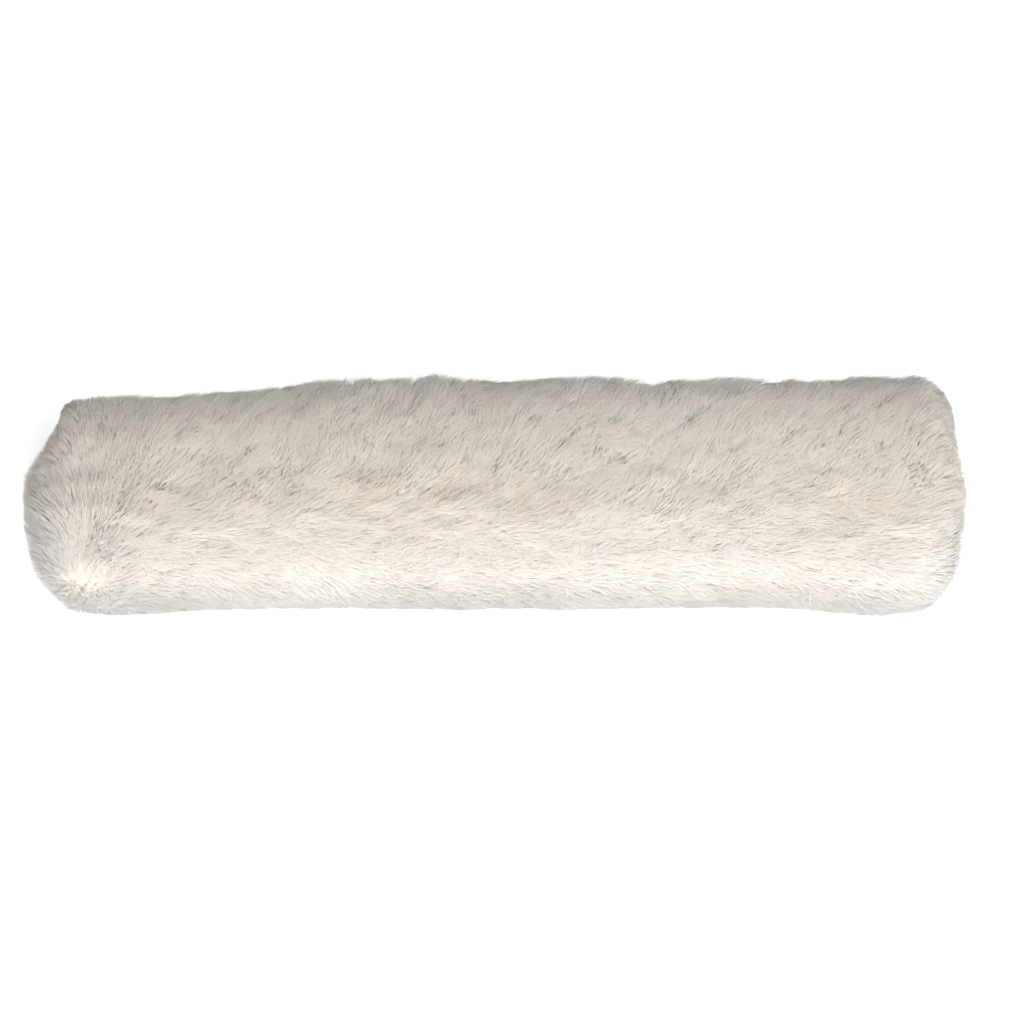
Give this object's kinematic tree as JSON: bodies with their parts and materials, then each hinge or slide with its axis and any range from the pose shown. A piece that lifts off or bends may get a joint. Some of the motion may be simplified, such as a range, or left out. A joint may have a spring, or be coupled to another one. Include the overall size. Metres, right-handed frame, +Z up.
{
  "type": "saddle girth",
  "caption": "Short saddle girth in a sheepskin sleeve: padded leather body, elastic ends and roller buckles under the wool; the sleeve opens along its back edge.",
  "frame": {"origin": "on the surface it lies on, under the middle of the object's box", "axes": "+X along the girth, -Y towards the sleeve's fold, +Y towards its closed lip, +Z up"},
  "size_m": [0.68, 0.17, 0.084],
  "materials": {
    "wool": "matte",
    "hide": "matte",
    "closure_tape": "matte",
    "binding": "matte",
    "leather": "satin",
    "foam": "matte",
    "webbing": "matte",
    "elastic": "matte",
    "buckle_steel": "polished"
  },
  "bodies": {
    "sleeve": {"sleeve_lower_wool": "wool", "sleeve_lower_hide": "hide", "sleeve_hook_tape": "closure_tape", "sleeve_fold_wool": "wool", "sleeve_lower_left_binding": "binding", "sleeve_lower_right_binding": "binding"},
    "flap": {"sleeve_upper_wool": "wool", "sleeve_upper_left_fringe": "wool", "sleeve_upper_right_fringe": "wool", "sleeve_upper_hide": "hide", "sleeve_loop_tape": "closure_tape", "sleeve_upper_left_binding": "binding", "sleeve_upper_right_binding": "binding"},
    "girth": {"girth_lining": "leather", "girth_lower_pad": "foam", "girth_web": "webbing", "girth_upper_pad": "foam", "girth_outer_leather": "leather", "left_elastic": "elastic", "right_elastic": "elastic"},
    "left_tab": {"left_upper_tab": "leather", "left_lower_tab": "leather", "left_front_chape": "leather", "left_front_keeper": "leather", "left_back_chape": "leather", "left_back_keeper": "leather"},
    "left_front_buckle": {"left_front_buckle_frame": "buckle_steel"},
    "left_front_roller": {"left_front_buckle_roller": "buckle_steel"},
    "left_front_tongue": {"left_front_buckle_tongue": "buckle_steel"},
    "left_back_buckle": {"left_back_buckle_frame": "buckle_steel"},
    "left_back_roller": {"left_back_buckle_roller": "buckle_steel"},
    "left_back_tongue": {"left_back_buckle_tongue": "buckle_steel"},
    "right_tab": {"right_upper_tab": "leather", "right_lower_tab": "leather", "right_front_chape": "leather", "right_front_keeper": "leather", "right_back_chape": "leather", "right_back_keeper": "leather"},
    "right_front_buckle": {"right_front_buckle_frame": "buckle_steel"},
    "right_front_roller": {"right_front_buckle_roller": "buckle_steel"},
    "right_front_tongue": {"right_front_buckle_tongue": "buckle_steel"},
    "right_back_buckle": {"right_back_buckle_frame": "buckle_steel"},
    "right_back_roller": {"right_back_buckle_roller": "buckle_steel"},
    "right_back_tongue": {"right_back_buckle_tongue": "buckle_steel"}
  },
  "joints": [
    {"name": "flap_hinge", "type": "hinge", "parent": "sleeve", "child": "flap", "pos_m": [0, -0.058, 0.04], "axis": [1, 0, 0], "range_deg": [0, 170], "deforming": ["sleeve_fold_wool"]},
    {"name": "girth_slide", "type": "slide", "parent": "sleeve", "child": "girth", "axis": [1, 0, 0], "range_m": [0, 0.15]},
    {"name": "left_elastic_stretch", "type": "slide", "parent": "girth", "child": "left_tab", "axis": [-1, 0, 0], "range_m": [0, 0.03], "stiffness_N_per_m": 2500, "deforming": ["left_elastic"]},
    {"name": "left_front_buckle_hinge", "type": "hinge", "parent": "left_tab", "child": "left_front_buckle", "pos_m": [-0.306, -0.0324, 0.04], "axis": [0, 1, 0], "range_deg": [-20, 40], "deforming": ["sleeve_upper_left_fringe"]},
    {"name": "left_front_roller_spin", "type": "hinge", "parent": "left_front_buckle", "child": "left_front_roller", "pos_m": [-0.33, -0.0324, 0.04], "axis": [0, 1, 0], "continuous": true},
    {"name": "left_front_tongue_hinge", "type": "hinge", "parent": "left_front_buckle", "child": "left_front_tongue", "pos_m": [-0.306, -0.0324, 0.04], "axis": [0, 1, 0], "range_deg": [0, 75]},
    {"name": "left_back_buckle_hinge", "type": "hinge", "parent": "left_tab", "child": "left_back_buckle", "pos_m": [-0.306, 0.0066, 0.04], "axis": [0, 1, 0], "range_deg": [-20, 40]},
    {"name": "left_back_roller_spin", "type": "hinge", "parent": "left_back_buckle", "child": "left_back_roller", "pos_m": [-0.33, 0.0066, 0.04], "axis": [0, 1, 0], "continuous": true},
    {"name": "left_back_tongue_hinge", "type": "hinge", "parent": "left_back_buckle", "child": "left_back_tongue", "pos_m": [-0.306, 0.0066, 0.04], "axis": [0, 1, 0], "range_deg": [0, 75]},
    {"name": "right_elastic_stretch", "type": "slide", "parent": "girth", "child": "right_tab", "axis": [1, 0, 0], "range_m": [0, 0.03], "stiffness_N_per_m": 2500, "deforming": ["right_elastic"]},
    {"name": "right_front_buckle_hinge", "type": "hinge", "parent": "right_tab", "child": "right_front_buckle", "pos_m": [0.306, -0.0324, 0.04], "axis": [0, -1, 0], "range_deg": [-20, 40], "deforming": ["sleeve_upper_right_fringe"]},
    {"name": "right_front_roller_spin", "type": "hinge", "parent": "right_front_buckle", "child": "right_front_roller", "pos_m": [0.33, -0.0324, 0.04], "axis": [0, 1, 0], "continuous": true},
    {"name": "right_front_tongue_hinge", "type": "hinge", "parent": "right_front_buckle", "child": "right_front_tongue", "pos_m": [0.306, -0.0324, 0.04], "axis": [0, -1, 0], "range_deg": [0, 75]},
    {"name": "right_back_buckle_hinge", "type": "hinge", "parent": "right_tab", "child": "right_back_buckle", "pos_m": [0.306, 0.0066, 0.04], "axis": [0, -1, 0], "range_deg": [-20, 40]},
    {"name": "right_back_roller_spin", "type": "hinge", "parent": "right_back_buckle", "child": "right_back_roller", "pos_m": [0.33, 0.0066, 0.04], "axis": [0, 1, 0], "continuous": true},
    {"name": "right_back_tongue_hinge", "type": "hinge", "parent": "right_back_buckle", "child": "right_back_tongue", "pos_m": [0.306, 0.0066, 0.04], "axis": [0, -1, 0], "range_deg": [0, 75]}
  ]
}
